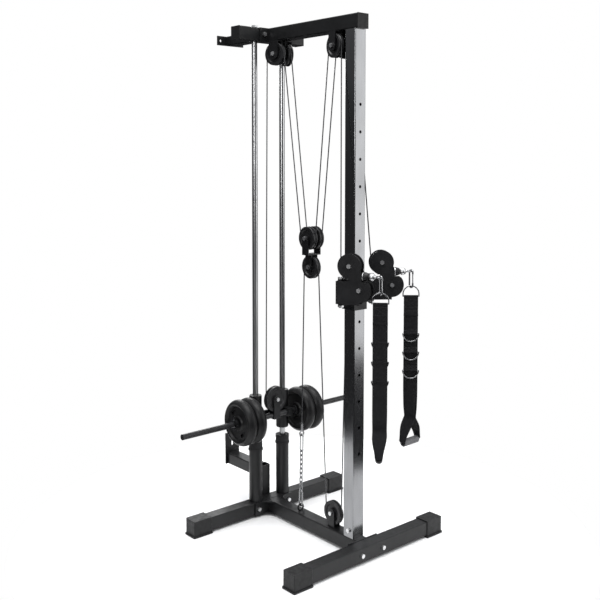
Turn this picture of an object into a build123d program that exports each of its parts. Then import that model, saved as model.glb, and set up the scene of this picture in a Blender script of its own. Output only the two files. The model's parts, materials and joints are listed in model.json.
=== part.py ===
from build123d import *
import math
import os

# Lat pulldown machine: a plate-loaded cable column on a floor frame.
# Millimetres, +Z up. The machine's front (where the user stands) is -Y.
# Inside this script Y = 0 is the front face of the upright; save() moves the whole
# machine so that its origin is the centre of its bounding box, at floor level.
Y_SHIFT = -351.64

# --- driving dimensions ------------------------------------------------------
TUBE = 60.0                 # side of the square frame tube
WALL = 2.5                  # its wall
CORNER_R = 5.0              # outer corner of the square tubes
RUN_GAP = 0.5               # between a slanted cable run and the swivel's own upright cable
BEAM_Z = 8.0                # underside of the floor beams
DECK_Z = BEAM_Z + TUBE      # top of the floor beams
TOP_Z = 2150.0              # underside of the top beams
FRONT_Y = -84.0             # front face of the front floor beam
REAR_Y = 560.0              # front face of the rear floor beam and of the top crossbeam
FRONT_HALF = 418.0
REAR_HALF = 434.0
CROSS_HALF = 182.0
WALL_Y = 882.0              # plane of the wall plates
FLANGE_T = 6.0

HOLE_FIRST = 420.0          # lowest adjustment hole in the upright
HOLE_PITCH = 110.0
HOLE_COUNT = 14
HOLE_R = 6.5

ROD_X = 79.0
ROD_Y = 590.0
ROD_R = 12.5
POST_R = 30.0
POST_TOP = 305.0
BUMPER_TOP = 345.0
SLEEVE_R = 28.5
SLEEVE_LOW = 385.0
SLEEVE_TOP = 555.0

CABLE_R = 2.5
GROOVE_R = 3.0
FIT = 0.05                  # radial clearance of a running fit
GAP = 0.5                   # side clearance of a turning piece
AXLE_R = 6.0
PLATE_T = 4.0
HEAD_R = 9.5
HEAD_H = 7.0

SHEAVE_R = 50.0             # outer radius of the frame and block sheaves
PITCH_R = 46.0              # radius that the cable's centre runs on
HUB_W = 26.0
RIM_W = 22.0
BIG_SHEAVE_R = 58.0         # the carriage sheave
BIG_PITCH_R = 53.0
BIG_HUB_W = 24.0
UPPER_SHEAVE_R = 44.0       # the swivel's upper sheave, which turns the cable forwards
UPPER_PITCH_R = 40.0
GUARD_SHEAVE_R = 36.0       # the swivel's lower sheave, which the cable touches in a high pull
GUARD_PITCH_R = 32.0

TOP_SHEAVE_Z = 2092.0
FRONT_TOP = (29.0, 118.5)   # centre of the right front-top sheave, X and Y
FRONT_SPLAY = -9.6          # how far its plane turns out of the Y-Z plane, degrees
REAR_TOP = (31.6, 500.0)
REAR_SPLAY = 14.0
BLOCK_Y = 296.0
BLOCK_X = 18.4
BLOCK_HIGH_Z = 1292.0
BLOCK_LOW_Z = 1167.0
LOW_PULLEY = (150.0, 128.0)  # Y and Z of the low pulley
CARRIAGE_Y = 545.0          # plane of the carriage sheave and the loading bar
CARRIAGE_SHEAVE_Z = 536.0
BAR_Z = 462.0
BAR_HALF = 505.0
ANCHOR_Y = 366.0            # chain eye on the base spine
ANCHOR_Z = 84.0

PLATE_IN = 117.0            # inner face of the inner weight plate
PLATE_W = 52.0
PLATE_GAP = 1.5
WEIGHT_R = 103.0

PIVOT_X = 86.0
PIVOT_Y = 20.0
PIVOT_R = 8.0
BARREL_R = 15.0
BARREL_LOW = 1052.0
BARREL_TOP = 1145.0
EAR_T = 6.0
SWIVEL_TURN = {"left": 25.0, "right": 54.0}   # from straight ahead towards +X
UPPER_SHEAVE = (42.0, 1206.0)   # ahead of the pivot, and height
LOWER_SHEAVE = (84.0, 1112.0)
LOBE_R = 50.0
CHEEK_IN = 15.0             # inner face of a swivel cheek
EXIT_Z = UPPER_SHEAVE[1] - UPPER_PITCH_R

TROLLEY_LOW = 1020.0
TROLLEY_TOP = 1170.0
TROLLEY_HALF = 36.0
PIN_Z = 1080.0
PIN_THROW = 12.0

STOP_T = 96.0               # ball stop's washer, ahead of the pivot
WASHER_R = 18.5
EYE_T = 161.0               # centre of the eye
EYE_R = 11.0
EYE_WIRE = 3.0
CARABINER_TURN = {"left": -38.0, "right": -62.0}   # from the swivel's direction
STRAP_TURN = {"left": 20.0, "right": -5.0}
CARABINER_R = 10.5
CARABINER_WIRE = 3.5
CARABINER_SPAN = 52.0
RING_WIRE = 2.5
LINK_PLAY = 0.4             # air between one hanging link and the next
RING_HALF = 33.0
STRAP_W = 60.0
STRAP_T = 6.0               # webbing, doubled
RING_LEG = 10.0
BAND_DROP = 155.5            # first adjusting ring below the strap's top
BAND_PITCH = 77.5
BAND_COUNT = 3
RECESS_TURNS = (53.0, 233.0)  # the plates' grip recesses, from +Y towards +Z
BAND_SIDE = {"left": 1, "right": -1}    # which face of the strap carries the rings
FORK_DROP = 505.0           # where the webbing parts towards the grip
GRIP_DROP = 612.0
GRIP_R = 15.0
GRIP_HALF = 46.0
GRIP_TURN = {"left": 75.0, "right": 25.0}

NODES = {}


# --- helpers -------------------------------------------------------------------
def save(name, *solids):
    """Keep one node: its solids, moved to the machine's origin."""
    NODES[name] = [Pos(0, Y_SHIFT, 0) * s for s in solids]


def box(x0, x1, y0, y1, z0, z1):
    centre = Pos((x0 + x1) / 2, (y0 + y1) / 2, (z0 + z1) / 2)
    return centre * Box(x1 - x0, y1 - y0, z1 - z0)


def rod(start, end, radius):
    """A round bar between two points."""
    start, end = Vector(*start), Vector(*end)
    along = end - start
    plane = Plane(origin=start, z_dir=along)
    return extrude(plane * Circle(radius), amount=along.length)


def pipe(start, end, outer, inner):
    return rod(start, end, outer) - rod(start, end, inner)


def square_tube(x0, x1, y0, y1, z0, z1, run):
    """A hollow square tube whose length runs along the named axis."""
    solid = box(x0, x1, y0, y1, z0, z1)
    solid = fillet(solid.edges().filter_by({"x": Axis.X, "y": Axis.Y, "z": Axis.Z}[run]), CORNER_R)
    w = {axis: 0.0 if axis == run else WALL for axis in "xyz"}
    hollow = box(x0 + w["x"], x1 - w["x"], y0 + w["y"], y1 - w["y"], z0 + w["z"], z1 - w["z"])
    return solid - hollow


def hexagon(start, along, radius, height):
    plane = Plane(origin=Vector(*start), z_dir=Vector(*along))
    return extrude(plane * RegularPolygon(radius, 6), amount=height)


def bolt(start, along, grip, radius=AXLE_R, head=HEAD_R):
    """A hex bolt with its nut: the head sits before start, the nut after the grip."""
    start, along = Vector(*start), Vector(*along).normalized()
    end = start + along * grip
    head_end = start - along * HEAD_H
    nut_end = end + along * (HEAD_H + 3)
    shank = rod(tuple(head_end), tuple(nut_end), radius)
    body = shank + hexagon(tuple(head_end), tuple(along), head, HEAD_H)
    nut = hexagon(tuple(end), tuple(along), head, HEAD_H)
    return body + nut


def sheave(radius, pitch, hub_w, rim_w):
    """A grooved wheel about the X axis, with its bearing bore."""
    hub, rim = hub_w / 2, rim_w / 2
    bottom = pitch - GROOVE_R
    flare = 0.45 * (radius - pitch) + GROOVE_R
    hub_r = 17.0
    web = rim - 5
    pts = [(AXLE_R + FIT, -hub), (hub_r, -hub), (hub_r, -web), (bottom - 9, -web), (bottom - 5, -rim),
           (radius - 1, -rim), (radius, -rim + 1), (radius, -flare), (pitch, -GROOVE_R)]
    outline = Polyline(*pts)
    groove = ThreePointArc((pitch, -GROOVE_R), (bottom, 0), (pitch, GROOVE_R))
    back = Polyline(*[(x, -y) for x, y in reversed(pts)])
    close = Line((AXLE_R + FIT, hub), (AXLE_R + FIT, -hub))
    face = make_face([outline, groove, back, close])
    wheel = revolve(face, axis=Axis.Y, revolution_arc=360)
    return Rot(0, 0, -90) * wheel


def tangent(c1, r1, s1, c2, r2, s2):
    """Touching points, in the Y-Z plane, of a straight run between two circles.
    s = +1 puts the run on the circle's +Y side, -1 on its -Y side."""
    dy, dz = c2[0] - c1[0], c2[1] - c1[1]
    length = math.hypot(dy, dz)
    along = (dy / length, dz / length)
    cos_b = (s1 * r1 - s2 * r2) / length
    sin_b = math.sqrt(1 - cos_b ** 2)
    side = (-along[1], along[0]) if -along[1] > 0 else (along[1], -along[0])
    normal = (cos_b * along[0] + sin_b * side[0], cos_b * along[1] + sin_b * side[1])
    p1 = (s1 * r1 * normal[0], s1 * r1 * normal[1])
    p2 = (s2 * r2 * normal[0], s2 * r2 * normal[1])
    return p1, p2


def on_sheave(centre, splay, side, offset):
    """A point of a sheave on the side x > 0 (side 1) or x < 0 (side -1), from its in-plane offset."""
    turn = math.radians(splay)
    x = centre[0] + offset[0] * math.sin(turn)
    return (side * x, centre[1] + offset[0] * math.cos(turn), centre[2] + offset[1])


def wrap(start, middle, end):
    """A cable's arc over a sheave."""
    path = ThreePointArc(start, middle, end)
    return sweep((path ^ 0) * Circle(CABLE_R), path=path)


def swivel_place(side):
    """The frame of a swivel: +Y' runs ahead of the pivot, X' is across, Z stays."""
    sign = -1 if side == "left" else 1
    return Pos(sign * PIVOT_X, PIVOT_Y, 0) * Rot(0, 0, SWIVEL_TURN[side] + 180)


# --- frame -----------------------------------------------------------------------
def floor_beams():
    for name, half, y in (("front_base_beam", FRONT_HALF, FRONT_Y), ("rear_base_beam", REAR_HALF, REAR_Y)):
        beam = square_tube(-half, half, y, y + TUBE, BEAM_Z, DECK_Z, "x")
        bolt_x = 60 if name == "front_base_beam" else 88
        for x in (-bolt_x, bolt_x):
            beam -= rod((x, y - 1, 38), (x, y + TUBE + 1, 38), AXLE_R + FIT)
        save(name, beam)


def gusset(side, y, size, z):
    """A corner plate with one concave quarter-round edge, in the corner of spine and flange."""
    plate = box(0, size, -size, 0, z, z + FLANGE_T) - rod((size, -size, z - 1), (size, -size, z + 9), size - 1)
    plate = Pos(TUBE / 2 - 0.5, y, 0) * plate
    return plate if side > 0 else mirror(plate, Plane.YZ)


def base_spine():
    h = TUBE / 2
    front, rear = FRONT_Y + TUBE, REAR_Y
    body = square_tube(-h, h, front + FLANGE_T, rear - FLANGE_T, BEAM_Z, DECK_Z, "y")
    front_plate = box(-85, 85, front, front + FLANGE_T, BEAM_Z, DECK_Z)
    rear_plate = box(-108, 108, rear - FLANGE_T, rear, BEAM_Z, DECK_Z)
    for x in (-60, 60):
        front_plate -= rod((x, front - 1, 38), (x, front + 9, 38), AXLE_R + FIT)
    for x in (-88, 88):
        rear_plate -= rod((x, rear - 9, 38), (x, rear + 1, 38), AXLE_R + FIT)
    body += front_plate + rear_plate
    for side in (-1, 1):
        for z in (BEAM_Z, DECK_Z - FLANGE_T):
            body += gusset(side, rear - FLANGE_T, 42, z)
    # the stub that the upright slips over, and the chain's eye
    inner = h - WALL - 0.3
    stub = box(-inner, inner, TUBE / 2 - inner, TUBE / 2 + inner, DECK_Z - 1, DECK_Z + 70)
    stub -= box(3 - inner, inner - 3, TUBE / 2 - inner + 3, TUBE / 2 + inner - 3, DECK_Z - 2, DECK_Z + 71)
    stub -= rod((-h, 27, 98), (h, 27, 98), AXLE_R + FIT)
    body += stub
    eye = Pos(0, ANCHOR_Y, ANCHOR_Z) * Rot(90, 0, 0) * Torus(14, 4)
    body += eye
    save("base_spine", body)


def upright():
    h = TUBE / 2
    tube = square_tube(-h, h, 0, TUBE, DECK_Z, TOP_Z, "z")
    for i in range(HOLE_COUNT):
        z = HOLE_FIRST + i * HOLE_PITCH
        tube -= rod((0, -1, z), (0, WALL + 1, z), HOLE_R)
    tube -= rod((-h - 1, 27, 98), (h + 1, 27, 98), AXLE_R + FIT)
    save("upright", tube)


def top_frame():
    h = TUBE / 2
    rear = REAR_Y
    beam = square_tube(-h, h, -10, rear - FLANGE_T, TOP_Z, TOP_Z + TUBE, "y")
    flange = box(-75, 75, rear - FLANGE_T, rear, TOP_Z, TOP_Z + TUBE)
    cross = square_tube(-CROSS_HALF, CROSS_HALF, rear, rear + TUBE, TOP_Z, TOP_Z + TUBE, "x")
    for x in (-50, 50):
        flange -= rod((x, rear - 9, TOP_Z + 32), (x, rear + 1, TOP_Z + 32), AXLE_R + FIT)
        cross -= rod((x, rear - 1, TOP_Z + 32), (x, rear + TUBE + 1, TOP_Z + 32), AXLE_R + FIT)
    for x in (-ROD_X, ROD_X):
        cross -= rod((x, ROD_Y, TOP_Z - 1), (x, ROD_Y, TOP_Z + TUBE + 1), ROD_R + FIT)
    save("top_beam", beam + flange)
    save("rear_crossbeam", cross)


def wall_arms():
    h = TUBE / 2
    start = REAR_Y + TUBE
    low = TOP_Z + 14
    arm = square_tube(-h, h, start, WALL_Y - FLANGE_T, low, low + 43, "y")
    plate = box(-75, 75, WALL_Y - FLANGE_T, WALL_Y, low, low + 43)
    for x in (-57, 57):
        plate -= rod((x, WALL_Y - 9, low + 21.5), (x, WALL_Y + 1, low + 21.5), 6)
    save("upper_wall_arm", arm + plate)
    post = square_tube(-h, h, start, start + 40, BEAM_Z, 203, "z")
    arm = square_tube(-h, h, start + 39, WALL_Y - FLANGE_T, 150, 203, "y")
    plate = box(-40, 40, WALL_Y - FLANGE_T, WALL_Y, 150, 300)
    slot = box(-6, 6, WALL_Y - 9, WALL_Y + 1, 240, 262)
    slot += rod((0, WALL_Y - 9, 240), (0, WALL_Y + 1, 240), 6)
    slot += rod((0, WALL_Y - 9, 262), (0, WALL_Y + 1, 262), 6)
    save("lower_wall_arm", post + arm + (plate - slot))


def foot(x_end, y, side):
    """A rubber shoe over a beam's end, with a flared sole."""
    x_in = x_end - side * 88
    x0, x1 = sorted((x_in, x_end + side * 4))
    shoe = box(x0, x1, y - 4, y + TUBE + 4, 2, DECK_Z + 4)
    shoe = fillet(shoe.edges().filter_by(Axis.Z), 3.5)
    sole0, sole1 = sorted((x_in - side * 3, x_end + side * 8))
    sole = box(sole0, sole1, y - 8, y + TUBE + 8, 0, 7)
    shoe += fillet(sole.edges().filter_by(Axis.Z), 6)
    c0, c1 = sorted((x_in - side * 9, x_end))
    return shoe - box(c0, c1, y, y + TUBE, BEAM_Z, DECK_Z)


def caps():
    solids = []
    for half, y in ((FRONT_HALF, FRONT_Y), (REAR_HALF, REAR_Y)):
        for side in (-1, 1):
            solids.append(foot(side * half, y, side))
    h = TUBE / 2
    plug = h - WALL
    solids.append(box(-h, h, -13, -10, TOP_Z, TOP_Z + TUBE)
                  + box(-plug, plug, -10, 8, TOP_Z + WALL, TOP_Z + TUBE - WALL))
    y0, y1 = REAR_Y, REAR_Y + TUBE
    for side in (-1, 1):
        a, b = sorted((side * CROSS_HALF, side * (CROSS_HALF + 3)))
        c, d = sorted((side * (CROSS_HALF - 18), side * CROSS_HALF))
        solids.append(box(a, b, y0, y1, TOP_Z, TOP_Z + TUBE)
                      + box(c, d, y0 + WALL, y1 - WALL, TOP_Z + WALL, TOP_Z + TUBE - WALL))
    save("end_caps", *solids)


def guides():
    posts, bumpers, rods = [], [], []
    for x in (-ROD_X, ROD_X):
        posts.append(pipe((x, ROD_Y, DECK_Z), (x, ROD_Y, POST_TOP), POST_R, POST_R - WALL))
        bore = ROD_R + 0.4
        bumper = rod((x, ROD_Y, POST_TOP), (x, ROD_Y, BUMPER_TOP), POST_R + 1)
        bumper += rod((x, ROD_Y, POST_TOP), (x, ROD_Y, POST_TOP + 7), POST_R + 3.5)
        bumper += rod((x, ROD_Y, POST_TOP - 25), (x, ROD_Y, POST_TOP), POST_R - WALL - 0.3)
        bumper -= rod((x, ROD_Y, POST_TOP - 26), (x, ROD_Y, BUMPER_TOP + 1), bore)
        bumpers.append(bumper)
        rods.append(rod((x, ROD_Y, DECK_Z), (x, ROD_Y, TOP_Z + TUBE + 3), ROD_R))
    save("guide_posts", *posts)
    save("rubber_bumpers", *bumpers)
    save("guide_rods", *rods)


def pulley_hanger(centre, splay, side):
    """An upside-down U that carries one top sheave from the beam's underside."""
    gap = HUB_W / 2 + GAP
    out = gap + PLATE_T
    half = 24.0
    top = TOP_Z - TOP_SHEAVE_Z
    hanger = None
    for s in (-1, 1):
        a, b = sorted((s * gap, s * out))
        cheek = box(a, b, -half, half, 0, top)
        cheek += rod((a, 0, 0), (b, 0, 0), half)
        hanger = cheek if hanger is None else hanger + cheek
    hanger += box(-out, out, -half, half, top - PLATE_T, top)
    hanger -= rod((-out - 1, 0, 0), (out + 1, 0, 0), AXLE_R + FIT)
    place = Pos(centre[0], centre[1], TOP_SHEAVE_Z) * Rot(0, 0, -splay)
    hanger = place * hanger
    return hanger if side > 0 else mirror(hanger, Plane.YZ)


def pulley_brackets():
    hangers = []
    for centre, splay in ((FRONT_TOP, FRONT_SPLAY), (REAR_TOP, REAR_SPLAY)):
        for side in (-1, 1):
            hangers.append(pulley_hanger(centre, splay, side))
    gap = HUB_W / 2 + GAP
    y, z = LOW_PULLEY
    for s in (-1, 1):
        a, b = sorted((s * gap, s * (gap + PLATE_T)))
        cheek = box(a, b, y - 20, y + 20, DECK_Z, z) + rod((a, y, z), (b, y, z), 20)
        hangers.append(cheek - rod((a - 1, y, z), (b + 1, y, z), AXLE_R + FIT))
    save("pulley_brackets", *hangers)


def fasteners():
    """Every bolt of the fixed frame, with its nut, and the rods' top nuts."""
    items = []
    for x in (-60, 60):
        items.append(bolt((x, FRONT_Y, 38), (0, 1, 0), TUBE + FLANGE_T))
    for x in (-88, 88):
        items.append(bolt((x, REAR_Y - FLANGE_T, 38), (0, 1, 0), TUBE + FLANGE_T))
    for x in (-50, 50):
        items.append(bolt((x, REAR_Y - FLANGE_T, TOP_Z + 32), (0, 1, 0), TUBE + FLANGE_T))
    items.append(bolt((-TUBE / 2, 27, 98), (1, 0, 0), TUBE))
    grip = HUB_W + 2 * GAP + 2 * PLATE_T
    for centre, splay in ((FRONT_TOP, FRONT_SPLAY), (REAR_TOP, REAR_SPLAY)):
        for side in (-1, 1):
            place = Pos(centre[0], centre[1], TOP_SHEAVE_Z) * Rot(0, 0, -splay)
            axle = place * bolt((grip / 2, 0, 0), (-1, 0, 0), grip)
            items.append(axle if side > 0 else mirror(axle, Plane.YZ))
    items.append(bolt((-grip / 2, LOW_PULLEY[0], LOW_PULLEY[1]), (1, 0, 0), grip))
    for x in (-ROD_X, ROD_X):
        items.append(hexagon((x, ROD_Y, TOP_Z + TUBE + 3), (0, 0, 1), 17, 8))
    save("frame_fasteners", *items)


def link(length, half_width, wire):
    """A chain link about the origin, long in Z and flat in X-Z."""
    straight = length / 2 - half_width - wire
    arc = Torus(half_width, wire)
    top = Pos(0, 0, straight) * Rot(90, 0, 0) * arc
    low = Pos(0, 0, -straight) * Rot(90, 0, 0) * arc
    keep_top = box(-60, 60, -60, 60, straight, straight + 60)
    keep_low = box(-60, 60, -60, 60, -straight - 60, -straight)
    body = (top & keep_top) + (low & keep_low)
    for x in (-half_width, half_width):
        body += rod((x, 0, -straight), (x, 0, straight), wire)
    return body


def chain_line():
    """The straight line of the chain and the cable above it: its foot, direction and tilt."""
    top = (0, BLOCK_Y + PITCH_R, BLOCK_LOW_Z)
    foot_point = (0, ANCHOR_Y, ANCHOR_Z + 14)
    along = (Vector(*top) - Vector(*foot_point)).normalized()
    tilt = math.degrees(math.atan2(-along.Y, along.Z))
    return Vector(*foot_point), along, tilt


def anchor_chain():
    """Snap hook, chain, quick link and the cable's eye ferrule, from the base up."""
    origin, along, tilt = chain_line()
    items = []
    distance = -11.4
    sizes = [(78, 9.5, 3.5, 90)]
    sizes += [(31, 6.5, 2.5, 90 * (i % 2)) for i in range(9)]
    sizes += [(84, 9.0, 3.0, 90)]
    for i, (length, half_width, wire, turn) in enumerate(sizes):
        centre = origin + along * (distance + length / 2)
        place = Pos(*centre) * Rot(tilt, 0, 0) * Rot(0, 0, turn)
        items.append(place * link(length, half_width, wire))
        following = sizes[i + 1][2] if i + 1 < len(sizes) else 3.0
        distance += length - wire * 2 - following * 2 - 0.6
    eye_at = distance + 14
    centre = origin + along * eye_at
    items.append(Pos(*centre) * Rot(tilt, 0, 0) * Rot(90, 0, 0) * Torus(11, 3)
                 + rod(tuple(centre + along * 11), tuple(centre + along * 46), 6))
    save("anchor_chain", *items)
    return centre + along * 46


# --- cables held by the frame ------------------------------------------------------
def cable_points():
    """Where each run meets its sheaves: in-plane offsets from the sheave centres."""
    front = (FRONT_TOP[1], TOP_SHEAVE_Z)
    rear = (REAR_TOP[1], TOP_SHEAVE_Z)
    high = (BLOCK_Y, BLOCK_HIGH_Z)
    low = (BLOCK_Y, BLOCK_LOW_Z)
    handle, _ = tangent(front, PITCH_R, -1, (PIVOT_Y, UPPER_SHEAVE[1]), 0, -1)
    front_down, block_front = tangent(front, PITCH_R, 1, high, PITCH_R, -1)
    rear_down, block_rear = tangent(rear, PITCH_R, -1, high, PITCH_R, 1)
    low_front, pulley_rear = tangent(low, PITCH_R, -1, LOW_PULLEY, PITCH_R, 1)
    pulley_front, _ = tangent(LOW_PULLEY, PITCH_R, -1, (TUBE + 18, TROLLEY_LOW), 0, -1)
    return {"handle": handle, "front_down": front_down, "block_front": block_front, "rear_down": rear_down,
            "block_rear": block_rear, "low_front": low_front, "pulley_rear": pulley_rear,
            "pulley_front": pulley_front}


def cables(ferrule_top):
    at = cable_points()
    front = (FRONT_TOP[0], FRONT_TOP[1], TOP_SHEAVE_Z)
    rear = (REAR_TOP[0], REAR_TOP[1], TOP_SHEAVE_Z)
    handle_runs, block_runs, weight_runs, fixed, block_wraps = [], [], [], [], []
    for side in (-1, 1):
        handle_top = on_sheave(front, FRONT_SPLAY, side, at["handle"])
        pivot = (side * PIVOT_X, PIVOT_Y, UPPER_SHEAVE[1] + RUN_GAP)
        handle_runs.append(rod(handle_top, pivot, CABLE_R))
        front_out = on_sheave(front, FRONT_SPLAY, side, at["front_down"])
        crown = on_sheave(front, FRONT_SPLAY, side, (0, PITCH_R))
        fixed.append(wrap(handle_top, crown, front_out))
        high = (BLOCK_X, BLOCK_Y, BLOCK_HIGH_Z)
        block_in = on_sheave(high, 0, side, at["block_front"])
        block_out = on_sheave(high, 0, side, at["block_rear"])
        block_runs.append(rod(front_out, block_in, CABLE_R))
        block_wraps.append(wrap(block_in, on_sheave(high, 0, side, (0, -PITCH_R)), block_out))
        rear_in = on_sheave(rear, REAR_SPLAY, side, at["rear_down"])
        block_runs.append(rod(block_out, rear_in, CABLE_R))
        rear_out = on_sheave(rear, REAR_SPLAY, side, (PITCH_R, 0))
        fixed.append(wrap(rear_in, on_sheave(rear, REAR_SPLAY, side, (0, PITCH_R)), rear_out))
        weight_runs.append(rod(rear_out, (side * BIG_PITCH_R, CARRIAGE_Y, CARRIAGE_SHEAVE_Z), CABLE_R))
    low = (0, BLOCK_Y, BLOCK_LOW_Z)
    chain_side = (0, BLOCK_Y + PITCH_R, BLOCK_LOW_Z)
    low_front = on_sheave(low, 0, 1, at["low_front"])
    block_wraps.append(wrap(chain_side, on_sheave(low, 0, 1, (0, PITCH_R)), low_front))
    pulley = (0, LOW_PULLEY[0], LOW_PULLEY[1])
    pulley_rear = on_sheave(pulley, 0, 1, at["pulley_rear"])
    pulley_front = on_sheave(pulley, 0, 1, at["pulley_front"])
    block_runs.append(rod(tuple(ferrule_top), chain_side, CABLE_R))
    block_runs.append(rod(low_front, pulley_rear, CABLE_R))
    fixed.append(wrap(pulley_rear, on_sheave(pulley, 0, 1, (0, -PITCH_R)), pulley_front))
    handle_runs.append(rod(pulley_front, (0, TUBE + 18, TROLLEY_LOW), CABLE_R))
    save("trolley_cable_runs", *handle_runs)
    save("block_cable_runs", *block_runs)
    save("weight_cable_runs", *weight_runs)
    save("fixed_cable_wraps", *fixed)
    save("block_cable_wraps", *block_wraps)
    sheave_at = Vector(0, CARRIAGE_Y, CARRIAGE_SHEAVE_Z)
    ends = [sheave_at + Vector(s * BIG_PITCH_R, 0, 0) for s in (-1, 1)]
    save("weight_cable_wrap", wrap(tuple(ends[0]), (0, CARRIAGE_Y, CARRIAGE_SHEAVE_Z - BIG_PITCH_R), tuple(ends[1])))


# --- sheaves -----------------------------------------------------------------------
def frame_sheaves():
    wheel = sheave(SHEAVE_R, PITCH_R, HUB_W, RIM_W)
    for name, centre, splay in (("front_top", FRONT_TOP, FRONT_SPLAY), ("rear_top", REAR_TOP, REAR_SPLAY)):
        placed = Pos(centre[0], centre[1], TOP_SHEAVE_Z) * Rot(0, 0, -splay) * wheel
        save(f"right_{name}_sheave", placed)
        save(f"left_{name}_sheave", mirror(placed, Plane.YZ))
    for side, x in (("left", -BLOCK_X), ("right", BLOCK_X)):
        save(f"{side}_block_sheave", Pos(x, BLOCK_Y, BLOCK_HIGH_Z) * wheel)
    save("lower_block_sheave", Pos(0, BLOCK_Y, BLOCK_LOW_Z) * wheel)
    save("low_sheave", Pos(0, LOW_PULLEY[0], LOW_PULLEY[1]) * wheel)
    big = sheave(BIG_SHEAVE_R, BIG_PITCH_R, BIG_HUB_W, RIM_W)
    save("carriage_sheave", Pos(0, CARRIAGE_Y, CARRIAGE_SHEAVE_Z) * Rot(0, 0, 90) * big)


# --- travelling block ----------------------------------------------------------------
def travelling_block():
    gap = HUB_W / 2 + GAP
    outer = BLOCK_X + gap
    high, low = BLOCK_HIGH_Z, BLOCK_LOW_Z
    yoke_z = (high + low) / 2 - 8
    half = 20.0
    body = None
    for s in (-1, 1):
        a, b = sorted((s * outer, s * (outer + PLATE_T)))
        cheek = box(a, b, BLOCK_Y - half, BLOCK_Y + half, yoke_z, high) + rod((a, BLOCK_Y, high), (b, BLOCK_Y, high), half)
        c, d = sorted((s * gap, s * (gap + PLATE_T)))
        cheek += box(c, d, BLOCK_Y - half, BLOCK_Y + half, low, yoke_z) + rod((c, BLOCK_Y, low), (d, BLOCK_Y, low), half)
        body = cheek if body is None else body + cheek
    body += box(-outer - PLATE_T, outer + PLATE_T, BLOCK_Y - half, BLOCK_Y + half, yoke_z - 2, yoke_z + 4)
    body -= rod((-outer - 9, BLOCK_Y, high), (outer + 9, BLOCK_Y, high), AXLE_R + FIT)
    body -= rod((-outer - 9, BLOCK_Y, low), (outer + 9, BLOCK_Y, low), AXLE_R + FIT)
    save("block_frame", body)
    spacer = pipe((-BLOCK_X + gap, BLOCK_Y, high), (BLOCK_X - gap, BLOCK_Y, high), 11, AXLE_R + FIT)
    upper = bolt((-outer - PLATE_T, BLOCK_Y, high), (1, 0, 0), 2 * (outer + PLATE_T))
    lower = bolt((-gap - PLATE_T, BLOCK_Y, low), (1, 0, 0), 2 * (gap + PLATE_T))
    save("block_fasteners", upper, lower, spacer)


# --- weight carriage -------------------------------------------------------------------
def weight_carriage():
    body = box(-ROD_X, ROD_X, CARRIAGE_Y + 21, CARRIAGE_Y + 27, BAR_Z - 22, BAR_Z + 23)
    for x in (-ROD_X, ROD_X):
        body += rod((x, ROD_Y, SLEEVE_LOW), (x, ROD_Y, SLEEVE_TOP), SLEEVE_R)
        body += box(x - 14, x + 14, CARRIAGE_Y - 17, CARRIAGE_Y + 24, BAR_Z - 18, BAR_Z + 18)
    gap = BIG_HUB_W / 2 + GAP
    for s in (-1, 1):
        y0, y1 = sorted((CARRIAGE_Y + s * gap, CARRIAGE_Y + s * (gap + PLATE_T)))
        body += box(-18, 18, y0, y1, BAR_Z, CARRIAGE_SHEAVE_Z)
        body += rod((0, y0, CARRIAGE_SHEAVE_Z), (0, y1, CARRIAGE_SHEAVE_Z), 18)
    body += box(-18, 18, CARRIAGE_Y - gap - PLATE_T, CARRIAGE_Y + 24, BAR_Z - 17, BAR_Z + 8)
    for x in (-ROD_X, ROD_X):
        body -= rod((x, ROD_Y, SLEEVE_LOW - 1), (x, ROD_Y, SLEEVE_TOP + 1), SLEEVE_R - 8)
    body -= rod((-ROD_X - 30, CARRIAGE_Y, BAR_Z), (ROD_X + 30, CARRIAGE_Y, BAR_Z), ROD_R + FIT)
    axle_y = gap + PLATE_T
    body -= rod((0, CARRIAGE_Y - axle_y - 1, CARRIAGE_SHEAVE_Z), (0, CARRIAGE_Y + axle_y + 1, CARRIAGE_SHEAVE_Z),
                AXLE_R + FIT)
    save("weight_carriage", body)
    axle = bolt((0, CARRIAGE_Y - axle_y, CARRIAGE_SHEAVE_Z), (0, 1, 0), 2 * axle_y)
    save("carriage_axle", axle)
    bushes = []
    for x in (-ROD_X, ROD_X):
        for z0, z1, lip in ((SLEEVE_LOW, SLEEVE_LOW + 30, -3), (SLEEVE_TOP - 30, SLEEVE_TOP, 3)):
            edge = z0 if lip < 0 else z1
            bush = rod((x, ROD_Y, z0), (x, ROD_Y, z1), SLEEVE_R - 8)
            bush += rod((x, ROD_Y, edge), (x, ROD_Y, edge + lip), SLEEVE_R - 2)
            bushes.append(bush - rod((x, ROD_Y, z0 - 5), (x, ROD_Y, z1 + 5), ROD_R + FIT))
    save("carriage_bushes", *bushes)


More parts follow.
